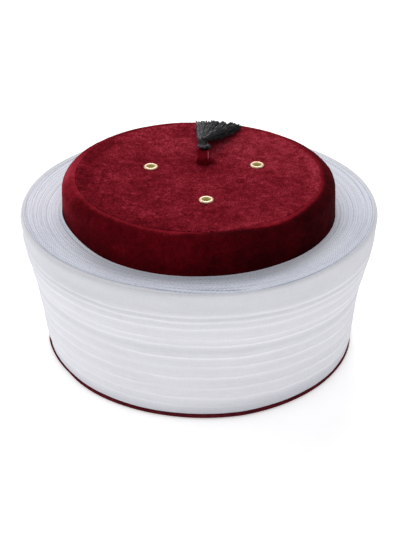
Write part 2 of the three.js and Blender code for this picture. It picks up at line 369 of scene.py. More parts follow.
# Strands of the tassel: across the skirt a strand's spread runs from 0 to 1, and through it its layer
TASSEL_SEED = 7
BUNDLE_RADIUS = 2.7
BUNDLE_START = 1.6
STRAND_COUNT = 340
STRAND_RADIUS = 0.4
STRAND_STEPS = 26
STRAND_SIDES = 5
STRAND_WAVES = [{"axis": 0, "height": 0.3}, {"axis": 2, "height": 0.2}]
STRAND_WAVE_RATE = (4, 9)
NOTCH = {"spread": 0.72, "width": 0.03, "depth": 4.0}
TIPS = {"left": -1.5, "right": 28.4, "stray": 0.4, "back": 70.5, "ragged": 1.5, "low": 1.1, "high": 5.2}
TIPS_RAGGED = (-2, 1)
TIPS_CORNER = 2.0
TIPS_THINNER = 0.6
# Painted light on the strands: highlight flecks along each twist, painted light at the left, painted shade
# at the right and in the lower layers
HIGHLIGHT_FLECKS = 3.4
FLECK_HIGHLIGHT = (0.1, 1.0)
STRAND_TONE = (-0.1, 0.26)
LEFT_LIGHT = 0.28
LEFT_STRANDS = (0.05, 0.3)
RIGHT_SHADE = 0.4
RIGHT_STRANDS = (0.82, 1.0)
DEEP_LAYER_LIGHT_SHARE = 0.3


def srgb(red, green, blue):
    """A display colour, 0 to 255 a channel, as a linear RGBA colour."""
    channels = [c / 255 for c in (red, green, blue)]
    linear = [c / 12.92 if c <= 0.04045 else ((c + 0.055) / 1.055) ** 2.4 for c in channels]
    return (*linear, 1.0)


# Velvet: shades from the deep of the pile to its lit tips, against its lie and the painted light and shade;
# the top's shades are a lighter copy of the wall's, with painted sheen
SIDE_SHADES = [
    (0.3, srgb(35, 1, 3)),
    (0.42, srgb(59, 2, 8)),
    (0.55, srgb(87, 5, 14)),
    (0.7, srgb(136, 24, 38)),
    (0.92, srgb(184, 60, 78)),
    # The wall's last stop is the painted highlight along the stem's seam
    (1.0, srgb(204, 122, 130)),
]
LIT_TOP_SHADES = [
    (0.3, srgb(64, 0, 6)),
    (0.46, srgb(108, 12, 26)),
    (0.56, srgb(136, 29, 44)),
    (0.72, srgb(182, 62, 78)),
]
BINDING_SHADES = [(0.36, srgb(52, 10, 18)), (0.5, srgb(80, 20, 29)), (0.64, srgb(108, 36, 46))]
SIDE_GRAIN = {"pile": 0.24, "crush": 0.26, "broad": 0.2}
TOP_GRAIN = {"pile": 0.6, "crush": 0.42, "broad": 0.18}
BINDING_GRAIN = {"pile": 0.4, "crush": 0.3, "broad": 0.2}
PLAIN_NAP = 0.5
PILE_SIZE = 0.9
CRUSH_SIZE = 5.0
BROAD_SIZE = 24.0
VELVET_HEIGHTS = {"pile": 0.5, "crush": 0.5}
VELVET_RELIEF = 0.9
VELVET_SHEEN = srgb(220, 90, 106)

# Cotton: its colours where it is thin and thick, and the sizes of its threads along and across
WRAP_COTTON = (srgb(204, 205, 212), srgb(246, 246, 251))
TURN_COTTON = (srgb(170, 177, 195), srgb(242, 245, 255))
COTTON_TONES = {"ply_and_painted_light": 0.8, "thread": 0.22, "slub": 0.1, "weft": 0.2, "warp": 0.14, "cloud": 0.22}
COTTON_HEIGHTS = {"thread": 0.5, "slub": 0.3, "weft": 0.4, "warp": 0.3}
COTTON_RELIEF = 0.14
THREAD_SIZE = 0.8
SLUB_SIZE = 5.0
WEFT_SIZE = (9.0, 1.0)
WARP_SIZE = (1.0, 7.0)
CLOUD_SIZE = (40.0, 8.0)
TURN_STITCH = 2.8
TURN_THREAD = 1.5
STITCH_GRAIN_SIZE = (2.4, 3.0)
STITCH_WANDER = 0.6
STITCH_TONES = {"stitches": 1.1, "rings": 0.3, "grain": 0.4}
STITCH_HEIGHTS = {"stitches": 1.0}
WAVE_REPEAT = TAU / 20

# Brass, yarn and floor
BRASS_SHADES = [(0.05, srgb(240, 222, 200)), (0.25, srgb(206, 164, 116)), (0.7, srgb(206, 196, 132))]
BRASS_TONES = {"wear": 0.3, "barrel": 0.7}
BRASS_ROUGHNESS = {"wear": 0.7, "barrel": 0.6}
BRASS_METALLIC = 0.8
BRASS_WEAR_SIZE = 1.6
YARN_SHADES = [(0.52, srgb(13, 12, 14)), (1.0, srgb(124, 122, 128))]
YARN_TONES = {"strand": 0.9, "tone_and_painted_light": 0.7}
YARN_GRAIN_SIZE = 1.1
YARN_RELIEF = 0.12
FLOOR_SHADES = [(0.3, (0.93, 0.93, 0.93, 1.0)), (0.7, (0.95, 0.95, 0.95, 1.0))]
FLOOR_SPECKLE_SIZE = 25.0


# Numbers


def smooth_step(low, high, value):
    t = np.clip((value - low) / (high - low), 0, 1)
    return t * t * (3 - 2 * t)


def hump(value, centre, width):
    return np.exp(-(((value - centre) / width) ** 2))


def spot(theta, row):
    """The row's amount at its bearing, falling smoothly to 0 away from it, round the ring."""
    away = (theta - math.radians(row["bearing"]) + math.pi) % TAU - math.pi
    return row["amount"] * hump(away, 0, math.radians(row["spread"]))


def round_table(theta, rows, column):
    """A column of a table of bearings, read at each bearing round the ring."""
    places = [row["bearing"] for row in rows]
    return np.interp(np.degrees(theta), places, [row[column] for row in rows], period=360)


def waves(theta, seed, orders=WANDER_ORDERS):
    """A smooth closed wander round the ring, about -1 to 1."""
    draw = np.random.default_rng(seed)
    total = np.zeros_like(theta)
    for order in orders:
        height = draw.normal() / math.sqrt(order / orders[0])
        total += height * np.cos(order * theta + draw.uniform(0, TAU))
    return total / 2


def sway(value, row):
    return row["height"] * np.sin(row["rate"] * value + row["phase"])


def noise_relief(points, row):
    """Smooth noise at points in millimetres, with the row's height, size of features and seed."""
    shift = Vector([step * row["seed"] for step in NOISE_SHIFT])
    flat = [noise.noise(Vector(p) / row["size"] + shift) for p in points.reshape(-1, 3)]
    return row["height"] * np.array(flat).reshape(points.shape[:-1])


# Meshes


def bearings(segments):
    return (np.arange(segments) / segments * TAU - math.pi)[:, None]


def ring_points(theta, radius, z):
    """Points in millimetres; bearing 0 is the front, towards -Y, and bearing 90 the right."""
    theta, radius, z = np.broadcast_arrays(theta, radius, z)
    return np.stack([radius * np.sin(theta), -radius * np.cos(theta), z], axis=-1)


def grid_faces(rows, columns, close_columns):
    """Quads over a grid whose rows run round a closed ring."""
    last = columns if close_columns else columns - 1
    row, column = np.meshgrid(np.arange(rows), np.arange(last), indexing="ij")
    next_row = (row + 1) % rows
    next_column = (column + 1) % columns
    corners = [row * columns + column, next_row * columns + column,
               next_row * columns + next_column, row * columns + next_column]
    return np.stack(corners, axis=-1).reshape(-1, 4).tolist()


def mesh_object(name, points, faces, material):
    mesh = bpy.data.meshes.new(name)
    mesh.from_pydata((points.reshape(-1, 3) * MM).tolist(), [], faces)
    mesh.polygons.foreach_set("use_smooth", [True] * len(mesh.polygons))
    mesh.materials.append(material)
    mesh.update()
    made = bpy.data.objects.new(name, mesh)
    bpy.context.scene.collection.objects.link(made)
    return made


def ring_object(name, theta, radii, heights, material, closed=True):
    """A mesh round the cap, from the radii and heights of its section at each bearing."""
    faces = grid_faces(len(theta), radii.shape[1], closed)
    return mesh_object(name, ring_points(theta, radii, heights), faces, material)


def spun(outline, segments):
    """The radii and the heights of an outline of (radius, z) pairs, repeated at each bearing."""
    shape = (segments, len(outline))
    return [np.broadcast_to(column, shape).copy() for column in np.array(outline, float).T]


def turned(name, outline, segments, material, centre, closed=True):
    """A body of revolution from (radius, z) pairs; one that is not closed starts and ends on its axis."""
    points = ring_points(bearings(segments), *spun(outline, segments)) + np.array(centre)
    made = mesh_object(name, points, grid_faces(segments, len(outline), closed), material)
    if not closed:
        weld(made)
    return made


def weld(made, distance=1e-7):
    shape = bmesh.new()
    shape.from_mesh(made.data)
    bmesh.ops.remove_doubles(shape, verts=shape.verts, dist=distance)
    shape.to_mesh(made.data)
    shape.free()


def arc(centre_radius, centre_z, across, up, start, end, steps):
    angles = np.linspace(start, end, steps + 1)
    return [(centre_radius + across * math.cos(a), centre_z + up * math.sin(a)) for a in angles]


def add_uv(made, u, v):
    """A UV map in metres from one value of u and v a vertex; u closes round the ring."""
    mesh = made.data
    layer = mesh.uv_layers.new(name="cloth")
    corner_vertex = np.zeros(len(mesh.loops), np.int32)
    mesh.loops.foreach_get("vertex_index", corner_vertex)
    corner_u = u.reshape(-1)[corner_vertex].reshape(-1, 4)
    corner_v = v.reshape(-1)[corner_vertex]
    length = u.max() + u.reshape(-1)[u.shape[1]] - u.min()
    wrapped = (corner_u.max(axis=1) - corner_u.min(axis=1)) > length / 2
    corner_u = np.where(wrapped[:, None] & (corner_u < length / 2), corner_u + length, corner_u)
    corners = np.stack([corner_u.reshape(-1), corner_v], axis=-1)
    layer.data.foreach_set("uv", corners.astype(np.float32).ravel())


def add_cloth_uv(made, theta, radii, heights, girth_radius):
    """A UV map that runs along the cloth round the ring, and across it over its section."""
    across = np.cumsum(np.hypot(np.diff(radii[0]), np.diff(heights[0])))
    across = np.concatenate([[0.0], across])[None, :]
    along = (theta + math.pi) * girth_radius
    add_uv(made, np.broadcast_to(along * MM, radii.shape), np.broadcast_to(across * MM, radii.shape))


def add_value(made, name, values):
    """A value a vertex that the material reads by name."""
    attribute = made.data.attributes.new(name, "FLOAT", "POINT")
    attribute.data.foreach_set("value", values.reshape(-1).astype(np.float32))


def stands_for(made, node):
    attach(made, "root")
    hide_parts(node)


def node_centre(node):
    low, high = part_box(node)
    return (low + high) / 2 / MM


# Materials


def new_material(name):
    material = bpy.data.materials.new(name)
    material.use_nodes = True
    tree = material.node_tree
    return material, tree, tree.nodes["Principled BSDF"]


def set_inputs(tree, node, **inputs):
    """Sets or links each named input; _0 and _1 stand for inputs by number."""
    for key, value in inputs.items():
        socket = node.inputs[int(key[1:]) if key[0] == "_" else key.replace("_", " ")]
        if isinstance(value, bpy.types.NodeSocket):
            tree.links.new(value, socket)
        else:
            socket.default_value = value


def add_node(tree, kind, settings=None, **inputs):
    """A shader node with its settings and inputs."""
    made = tree.nodes.new(kind)
    for key, value in (settings or {}).items():
        setattr(made, key, value)
    set_inputs(tree, made, **inputs)
    return made


def object_place(tree):
    return add_node(tree, "ShaderNodeTexCoord").outputs["Object"]


def noise_value(tree, place, size, detail=2.0, roughness=0.5, distortion=0.0):
    made = add_node(tree, "ShaderNodeTexNoise", Vector=place, Scale=1 / (size * MM), Detail=detail,
                    Roughness=roughness, Distortion=distortion)
    return made.outputs["Fac"]


def thread_value(tree, uv, size):
    """Noise that is stretched to a size along the cloth and across it."""
    along, across = size
    scale = (1 / (along * MM), 1 / (across * MM), 1.0)
    place = add_node(tree, "ShaderNodeMapping", Vector=uv, Scale=scale).outputs["Vector"]
    return add_node(tree, "ShaderNodeTexNoise", Vector=place, Scale=1.0, Detail=2.0).outputs["Fac"]


def wave_value(tree, uv, direction, period):
    """Bands across the cloth, 0 to 1; at scale 1 the texture repeats each WAVE_REPEAT."""
    made = add_node(tree, "ShaderNodeTexWave", {"bands_direction": direction}, Vector=uv,
                    Scale=WAVE_REPEAT / (period * MM), Distortion=STITCH_WANDER)
    return made.outputs["Fac"]


def attribute_value(tree, name):
    return add_node(tree, "ShaderNodeAttribute", {"attribute_name": name}).outputs["Fac"]


def math_value(tree, operation, first, second):
    return add_node(tree, "ShaderNodeMath", {"operation": operation}, _0=first, _1=second).outputs[0]


def mixed(tree, values, weights):
    """The sum of the named values times their weights."""
    total = None
    for name, weight in weights.items():
        term = math_value(tree, "MULTIPLY", values[name], weight)
        total = term if total is None else math_value(tree, "ADD", total, term)
    return total


def colour_ramp(tree, value, stops):
    ramp = add_node(tree, "ShaderNodeValToRGB", Fac=value)
    elements = ramp.color_ramp.elements
    while len(elements) < len(stops):
        elements.new(0.5)
    for element, (position, colour) in zip(elements, stops):
        element.position = position
        element.color = colour
    return ramp.outputs["Color"]


def relief(tree, height, distance):
    bump = add_node(tree, "ShaderNodeBump", Height=height, Distance=distance * MM, Strength=1.0)
    return bump.outputs["Normal"]


def velvet(name, shades, grain):
    """Crushed pile: its lie by place together with painted light and shade, with fine grain over patches
    where it lies in other directions.
    """
    material, tree, shader = new_material(name)
    place = object_place(tree)
    values = {
        "pile": noise_value(tree, place, PILE_SIZE, detail=2, roughness=0.6),
        "crush": noise_value(tree, place, CRUSH_SIZE, detail=3, roughness=0.65, distortion=0.6),
        "broad": noise_value(tree, place, BROAD_SIZE, detail=2),
    }
    about_zero = math_value(tree, "SUBTRACT", mixed(tree, values, grain), sum(grain.values()) / 2)
    nap_and_painted_light = math_value(tree, "ADD", about_zero, attribute_value(tree, "nap_and_painted_light"))
    set_inputs(tree, shader, Base_Color=colour_ramp(tree, nap_and_painted_light, shades), Roughness=0.9,
               Normal=relief(tree, mixed(tree, values, VELVET_HEIGHTS), VELVET_RELIEF),
               Specular_IOR_Level=0.02, Sheen_Weight=0.02, Sheen_Roughness=0.4, Sheen_Tint=VELVET_SHEEN)
    return material


def woven_cotton(name, thin, thick, stitch=None):
    """Plain weave that is whiter where more plies lie over each other and where light is painted, darker
    where shade is painted, with rows of stitches if asked.
    """
    material, tree, shader = new_material(name)
    uv = add_node(tree, "ShaderNodeTexCoord").outputs["UV"]
    place = object_place(tree)
    values = {
        "ply_and_painted_light": attribute_value(tree, "ply_and_painted_light"),
        "thread": noise_value(tree, place, THREAD_SIZE, detail=1),
        "slub": noise_value(tree, place, SLUB_SIZE, detail=3),
        "weft": thread_value(tree, uv, WEFT_SIZE),
        "warp": thread_value(tree, uv, WARP_SIZE),
        "cloud": thread_value(tree, uv, CLOUD_SIZE),
    }
    tones, heights = COTTON_TONES, COTTON_HEIGHTS
    if stitch:
        across = wave_value(tree, uv, "X", stitch)
        rings = wave_value(tree, uv, "Y", TURN_THREAD)
        about_zero = [math_value(tree, "SUBTRACT", wave, 0.5) for wave in (across, rings)]
        values["stitches"] = math_value(tree, "MULTIPLY", *about_zero)
        values["rings"] = rings
        values["grain"] = thread_value(tree, uv, STITCH_GRAIN_SIZE)
        tones, heights = tones | STITCH_TONES, heights | STITCH_HEIGHTS
    colour = colour_ramp(tree, mixed(tree, values, tones), [(0.0, thin), (1.0, thick)])
    set_inputs(tree, shader, Base_Color=colour, Roughness=0.9, Specular_IOR_Level=0.15,
               Normal=relief(tree, mixed(tree, values, heights), COTTON_RELIEF))
    return material


def brass():
    """Worn brass, dull inside the barrel."""
    material, tree, shader = new_material("eyelet_brass")
    barrel = attribute_value(tree, "barrel")
    values = {"wear": noise_value(tree, object_place(tree), BRASS_WEAR_SIZE, detail=3), "barrel": barrel}
    set_inputs(tree, shader, Base_Color=colour_ramp(tree, mixed(tree, values, BRASS_TONES), BRASS_SHADES),
               Roughness=mixed(tree, values, BRASS_ROUGHNESS),
               Metallic=math_value(tree, "SUBTRACT", BRASS_METALLIC, barrel))
    return material


def yarn():
    """Twisted rayon yarn with a dull gloss."""
    material, tree, shader = new_material("tassel_yarn")
    strand = noise_value(tree, object_place(tree), YARN_GRAIN_SIZE, detail=3, roughness=0.7)
    shade = mixed(tree, {"strand": strand, "tone_and_painted_light": attribute_value(tree, "tone_and_painted_light")}, YARN_TONES)
    set_inputs(tree, shader, Base_Color=colour_ramp(tree, shade, YARN_SHADES), Roughness=0.6,
               Specular_IOR_Level=0.08, Normal=relief(tree, strand, YARN_RELIEF))
    return material


def floor_paint():
    material, tree, shader = new_material("floor_paint")
    speckle = noise_value(tree, object_place(tree), FLOOR_SPECKLE_SIZE)
    set_inputs(tree, shader, Base_Color=colour_ramp(tree, speckle, FLOOR_SHADES), Roughness=0.9,
               Specular_IOR_Level=0.0, Emission_Color=WHITE, Emission_Strength=TABLE_GLOW)
    return material


# Camera, light and floor


def make_camera():
    data = bpy.data.cameras.new("camera")
    data.sensor_width = SENSOR_MM
    data.lens = SENSOR_MM * CAMERA_FOCAL_PIXELS / FRAME_LONG_SIDE_PIXELS
    camera = bpy.data.objects.new("camera", data)
    bpy.context.scene.collection.objects.link(camera)
    back = Vector((0, -math.cos(CAMERA_ELEVATION), math.sin(CAMERA_ELEVATION)))
    camera.location = Vector(CAMERA_AIM) + back * CAMERA_DISTANCE
    facing = (-back).to_track_quat("-Z", "Y").to_matrix()
    camera.rotation_euler = (facing @ Matrix.Rotation(CAMERA_ROLL, 3, "Z")).to_euler()
    bpy.context.scene.camera = camera


def make_light():
    world = bpy.data.worlds.new("studio")
    world.use_nodes = True
    set_inputs(world.node_tree, world.node_tree.nodes["Background"], Color=WHITE, Strength=SKY_STRENGTH)
    bpy.context.scene.world = world
    for lamp in LAMPS:
        data = bpy.data.lights.new(lamp["name"], "AREA")
        data.shape = "DISK"
        data.size = LAMP_SIZE
        data.energy = lamp["power"]
        made = bpy.data.objects.new(lamp["name"], data)
        bpy.context.scene.collection.objects.link(made)
        made.location = lamp["place"]
        made.rotation_euler = (Vector(LAMP_AIM) - made.location).to_track_quat("-Z", "Y").to_euler()


def make_floor():
    side = FLOOR_HALF_SIDE / MM
    corners = np.array([[-side, -side, 0], [side, -side, 0], [side, side, 0], [-side, side, 0]], float)
    floor = mesh_object("floor", corners, [[0, 1, 2, 3]], floor_paint())
    floor.location.z = -FLOOR_DROP


# Turban band


band_curve = np.polynomial.Polynomial.fit(
    [s["z"] for s in BAND_SECTIONS], [s["radius"] for s in BAND_SECTIONS], len(BAND_SECTIONS) - 1
)


def foot_draw(theta, z):
    """How far the cloth is drawn in towards its foot."""
    return round_table(theta, FOOT_SHAPE, "cloth") * (1 - smooth_step(WRAP_FOOT_Z, FOOT_SHAPE_Z, z))


def inner_edge(theta):
    """Radius where the rolled edge of the wrap meets the wound turns."""
    return RIM_RADIUS - round_table(theta, RIM_EDGE, "wall")


def rim_level(theta):
    """Height of the top of the wrap's rolled edge."""
    return WRAP_TOP_Z + RIM_WANDER * waves(theta, SEEDS["rim"]) - spot(theta, RIM_SAG)


def edge_shown(theta):
    """1 round the front, where a crease parts the rolled edge from the turns, and less behind."""
    return 1 - RIM_BEHIND * smooth_step(*RIM_FRONT, np.abs(np.degrees(theta)))


def pleat_relief(theta, height):
    """How far the pleats stand proud at each place, and how strongly their lines show there: lighter at
    each fold, whiter double ply with a painted highlight, and darker in painted shade in the valleys
    between.
    """
    proud = np.zeros_like(height)
    lines = np.zeros_like(height)
    below = WRAP_FOOT_Z
    for index, pleat in enumerate(PLEATS):
        edge = pleat["z"] + PLEAT_WOBBLE * waves(theta, SEEDS["wobble"] + index)
        edge = edge + PLEAT_RIPPLE * waves(theta, SEEDS["ripple"] + index, RIPPLE_ORDERS)
        fade = PLEAT_SHOWN["swing"] * waves(theta, SEEDS["fade"] + index, FADE_ORDERS)
        shown = np.clip(PLEAT_SHOWN["mean"] + fade, PLEAT_SHOWN["least"], 1.0)
        rise = np.clip((height - edge + PLEAT_RISE) / PLEAT_RISE, 0, 1) ** 2
        fall = 1 - smooth_step(edge - PLEAT_FALL, edge + PLEAT_TUCK, height)
        proud += PLEAT_STEP * shown * rise * fall
        lines += pleat["line"] * shown * hump(height, edge - PLEAT_LINE_DROP, PLEAT_LINE_WIDTH)
        middle = (pleat["z"] + below) / 2
        lines -= pleat["valley"] * hump(height, middle, (pleat["z"] - below) / VALLEY_PARTS)
        below = pleat["z"]
    return proud, lines


def wrap_plies_and_painted_light(theta, z, height, lines):
    """How white the wrap looks: whitest along its pleats, darker in its hem, with painted shade under its
    rim, below the hem and at its foot, and painted light at the left of the rim.
    """
    hem = smooth_step(HEM_LOW_Z - HEM_BLEND, HEM_LOW_Z + HEM_BLEND, height)
    near_rim = smooth_step(WRAP_TOP_Z - RIM_SHADE_DEPTH, WRAP_TOP_Z, z)
    rim = near_rim * (WRAP_PLIES_AND_PAINTED_LIGHT["rim"] - spot(theta, RIM_LIGHT_LEFT))
    below_hem = spot(theta, HEM_SHADE) * hump(z, HEM_SHADE["z"], HEM_SHADE["reach"])
    foot = (1 - smooth_step(*FOOT_SHADE_Z, z)) * (1 + spot(theta, FOOT_SHADE_RIGHT))
    tone_and_painted_light = WRAP_PLIES_AND_PAINTED_LIGHT["plain"] + WRAP_PLIES_AND_PAINTED_LIGHT["lines"] * lines - WRAP_PLIES_AND_PAINTED_LIGHT["hem"] * hem
    return tone_and_painted_light - rim - below_hem - WRAP_PLIES_AND_PAINTED_LIGHT["foot"] * foot


def wrap_outside(theta):
    """Radius, height and plies of the wrap from its foot to where its upper edge rolls over."""
    rise = np.linspace(WRAP_FOOT_Z, WRAP_TOP_Z - RIM_ROUND_DOWN, WRAP_ROWS)[None, :]
    around, z = np.broadcast_arrays(theta, rise)
    tilted = z + PLEAT_TILT * np.sin(around)
    proud, lines = pleat_relief(around, tilted)
    hem_share = np.clip((z - HEM_LOW_Z) / (WRAP_TOP_Z - HEM_LOW_Z), 0, 1)
    radius = band_curve(z) + proud - HEM_WAIST * np.sin(math.pi * hem_share)
    radius = radius - FOOT_TUCK * (1 - smooth_step(WRAP_FOOT_Z, FOOT_TUCK_Z, z)) - foot_draw(theta, z)
    billow = noise_relief(ring_points(theta, radius, z), WRAP_BILLOW)
    crinkle = noise_relief(ring_points(theta, radius, z * CRINKLE_SQUASH), WRAP_CRINKLE)
    return radius + billow + crinkle, z, wrap_plies_and_painted_light(around, z, tilted, lines)


def wrap_edge(theta, rim_radius):
    """Radius and height of the rolled upper edge, and of the shelf between it and the turns."""
    turn = np.linspace(0, math.pi / 2, RIM_STEPS + 1)[None, 1:]
    wall_top = WRAP_TOP_Z - RIM_ROUND_DOWN
    rim_z = rim_level(theta)
    roll_radius = rim_radius - RIM_ROUND_ACROSS * (1 - np.cos(turn))
    roll_z = wall_top + (rim_z - wall_top) * np.sin(turn)
    shelf_radius = (1 - SHELF_SHARE) * roll_radius[:, -1:] + SHELF_SHARE * inner_edge(theta)
    shelf_z = rim_z - SHELF_DROP * RIM_CREASE
    return np.concatenate([roll_radius, shelf_radius], axis=1), np.concatenate([roll_z, shelf_z], axis=1)


def wrap_inside(theta):
    """Radius and height of the wrap's inside, from the crease at its upper edge down to its foot."""
    level = np.linspace(WRAP_TOP_Z, WRAP_FOOT_Z, WRAP_INSIDE_ROWS)[None, :]
    wall = np.interp(level, [WRAP_FOOT_Z, WRAP_TOP_Z], [WRAP_WALL_FOOT, WRAP_WALL_RIM])
    radius = band_curve(level) - wall - foot_draw(theta, level)
    radius[:, :1] = inner_edge(theta)
    radius[:, -1] -= FOOT_TUCK
    z = np.broadcast_to(level, radius.shape).copy()
    z[:, :1] = rim_level(theta) - RIM_CREASE * edge_shown(theta)
    return radius, z


def make_wrap():
    theta = bearings(WRAP_SEGMENTS)
    radius, z, ply_and_painted_light = wrap_outside(theta)
    edge_radius, edge_z = wrap_edge(theta, radius[:, -1:])
    inner_radius, inner_z = wrap_inside(theta)
    radii = np.concatenate([radius, edge_radius, inner_radius], axis=1)
    heights = np.concatenate([z, edge_z, inner_z], axis=1)
    made = ring_object("turban_wrap", theta, radii, heights, woven_cotton("white_wrap", *WRAP_COTTON))
    # Painted light on the back of the rolled edge, and painted shade inside the crease
    far_light = smooth_step(*FAR_LIGHT_BEARINGS, np.abs(np.degrees(theta)))
    plies_and_painted_light = np.broadcast_to(ply_and_painted_light[:, -1:] + WRAP_PLIES_AND_PAINTED_LIGHT["far_light"] * far_light, radii.shape).copy()
    plies_and_painted_light[:, :WRAP_ROWS] = ply_and_painted_light
    plies_and_painted_light[:, -WRAP_INSIDE_ROWS:] -= WRAP_PLIES_AND_PAINTED_LIGHT["inside"] * edge_shown(theta)
    add_value(made, "ply_and_painted_light", plies_and_painted_light)
    add_cloth_uv(made, theta, radii, heights, radius[:, -1].mean())
    stands_for(made, "pleated_wrap")


def turn_grooves(theta, radius):
    """How deep the grooves between the turns are, and the loose edges of cloth that cross them."""
    degrees = np.degrees(theta)
    pitch = (RIM_RADIUS - TURNS_INNER_RADIUS) / TURN_COUNT
    inward = (RIM_RADIUS - radius + TURN_WANDER * waves(theta, SEEDS["turns"])) / pitch
    turn = inward
    for row in TURN_UNEVEN:
        turn = turn + sway(inward, row)
    turn = turn + theta / TAU + 0.5
    from_groove = (turn - np.floor(turn + 0.5)) * pitch
    strength = GROOVE["plain"] + GROOVE["wander"] * waves(theta, SEEDS["grooves"], FADE_ORDERS)
    strength = strength + GROOVE["sides"] * smooth_step(*GROOVE_SIDES, np.abs(degrees))
    strength = (strength + spot(theta, GROOVE_FRONT)) * (GROOVE["beat"] + sway(inward, GROOVE_BEAT))
    groove = strength * hump(from_groove, 0, TURN_GROOVE_WIDTH)
    for edge in TURN_EDGES:
        start, end = edge["start"], edge["end"]
        along = np.clip((degrees - start) / (end - start), 0, 1)
        level = edge["from"] + (edge["to"] - edge["from"]) * along
        level = level + EDGE_WANDER * waves(theta, SEEDS["edges"])
        shown = smooth_step(start - EDGE_FADE, start + EDGE_FADE, degrees)
        shown = shown * (1 - smooth_step(end - EDGE_FADE, end + EDGE_FADE, degrees))
        groove = np.maximum(groove, edge["depth"] * shown * hump(radius, level, EDGE_WIDTH))
    return groove


def turns_level(theta, radius, groove):
    """Height of the top face, which rises outwards, is lifted at the left and closes up behind."""
    outward = radius - TURNS_INNER_RADIUS
    z = TURNS_INNER_Z + (TURNS_OUTER_Z - TURNS_INNER_Z) * outward / (RIM_RADIUS - TURNS_INNER_RADIUS)
    z = z + spot(theta, INNER_LIFT) * np.clip(1 - outward / INNER_LIFT_REACH, 0, 1) ** INNER_LIFT_CURVE
    z = z - spot(theta, RIM_SAG) * smooth_step(RIM_RADIUS - RIM_SAG_REACH, RIM_RADIUS, radius)
    from_edge = inner_edge(theta) - radius
    crease = edge_shown(theta) * hump(from_edge, 0, RIM_CREASE_WIDTH)
    z = z - TURN_GROOVE_DEPTH * groove - RIM_CREASE * crease
    z = z + noise_relief(ring_points(theta, radius, z), TURN_BILLOW)
    closed = (1 - edge_shown(theta)) * (1 - smooth_step(0, RIM_CLOSE, from_edge))
    return z + closed * (rim_level(theta) - z)


def turns_side(theta):
    """Radius and height of the turns' hidden outside, behind the wrap."""
    level = np.array(TURNS_SIDE_Z)
    outside = band_curve(level) - WRAP_WALL_FOOT - WRAP_CLEARANCE
    radius, z = spun(np.stack([outside, level], axis=1), len(theta))
    radius[:, :1] -= FOOT_TUCK + round_table(theta, FOOT_SHAPE, "cloth")
    radius[:, :1] = np.maximum(radius[:, :1], TURNS_LEAST_RADIUS)
    return radius, z


def turn_plies_and_painted_light(theta, radius, share, groove):
    """How white the top face looks: painted shade in its grooves, as a line inside its edge and near the
    crown at the front, painted light behind and beside the crown, and a painted highlight along its inner
    edge.
    """
    painted_light = TURN_PLIES_AND_PAINTED_LIGHT["back"] * smooth_step(*TURN_LIGHT_BACK, np.abs(np.degrees(theta)))
    for light in TURN_LIGHTS:
        painted_light = painted_light + spot(theta, light) * (1 - share) ** light["fall"]
    painted_light = painted_light - spot(theta, TURN_SHADE) * hump(radius, TURN_SHADE["radius"], TURN_SHADE["reach"])
    line_inward = RIM_LINE_INWARD * (1 - spot(theta, RIM_LINE_OUTWARD))
    line = edge_shown(theta) * hump(inner_edge(theta) - radius, line_inward, RIM_LINE_WIDTH)
    line = line * (RIM_SHADE_LINE_TONE + spot(theta, RIM_SHADE_LINE_DARK))
    inner_highlight = TURN_PLIES_AND_PAINTED_LIGHT["inner"] * hump(radius, INNER_HIGHLIGHT_RADIUS, INNER_HIGHLIGHT_WIDTH)
    return TURN_PLIES_AND_PAINTED_LIGHT["plain"] - TURN_PLIES_AND_PAINTED_LIGHT["groove"] * groove - line + inner_highlight + painted_light


def make_turns():
    theta = bearings(TURNS_SEGMENTS)
    share = np.linspace(1, 0, TURNS_ROWS)[None, :]
    radius = TURNS_INNER_RADIUS + (inner_edge(theta) - RIM_CLEARANCE - TURNS_INNER_RADIUS) * share
    groove = turn_grooves(theta, radius)
    side, side_z = turns_side(theta)
    foot, foot_z = spun([(TURNS_FOOT_RADIUS, TURNS_FOOT_Z)], TURNS_SEGMENTS)
    radii = np.concatenate([side, radius, foot], axis=1)
    heights = np.concatenate([side_z, turns_level(theta, radius, groove), foot_z], axis=1)
    girth = TAU * RIM_RADIUS
    cotton = woven_cotton("white_turns", *TURN_COTTON, girth / round(girth / TURN_STITCH))
    made = ring_object("turban_turns", theta, radii, heights, cotton)
    plies_and_painted_light = np.full(radii.shape, TURN_PLIES_AND_PAINTED_LIGHT["hidden"])
    plies_and_painted_light[:, side.shape[1]:-1] = turn_plies_and_painted_light(theta, radius, share, groove)
    add_value(made, "ply_and_painted_light", plies_and_painted_light)
    add_cloth_uv(made, theta, radii, heights, RIM_RADIUS)
    stands_for(made, "wound_turns")


# Crown


def seam_depth(theta):
    """The sewn crease shows at the front, and closes up elsewhere."""
    return SEAM_DEPTH * (SEAM_CLOSED + spot(theta, SEAM_SHOWN))


def edge_swell(theta, radius):
    """The edge stands higher on the left, in a soft lip with a dip of the panel inside it."""
    lip = LIP_RISE * hump(radius, LIP_RADIUS, LIP_WIDTH) - DIP_DEPTH * hump(radius, DIP_RADIUS, DIP_WIDTH)
    return spot(theta, SWELL_LEFT) * lip - EDGE_TILT * np.sin(theta) * smooth_step(*EDGE_TILT_RADII, radius)


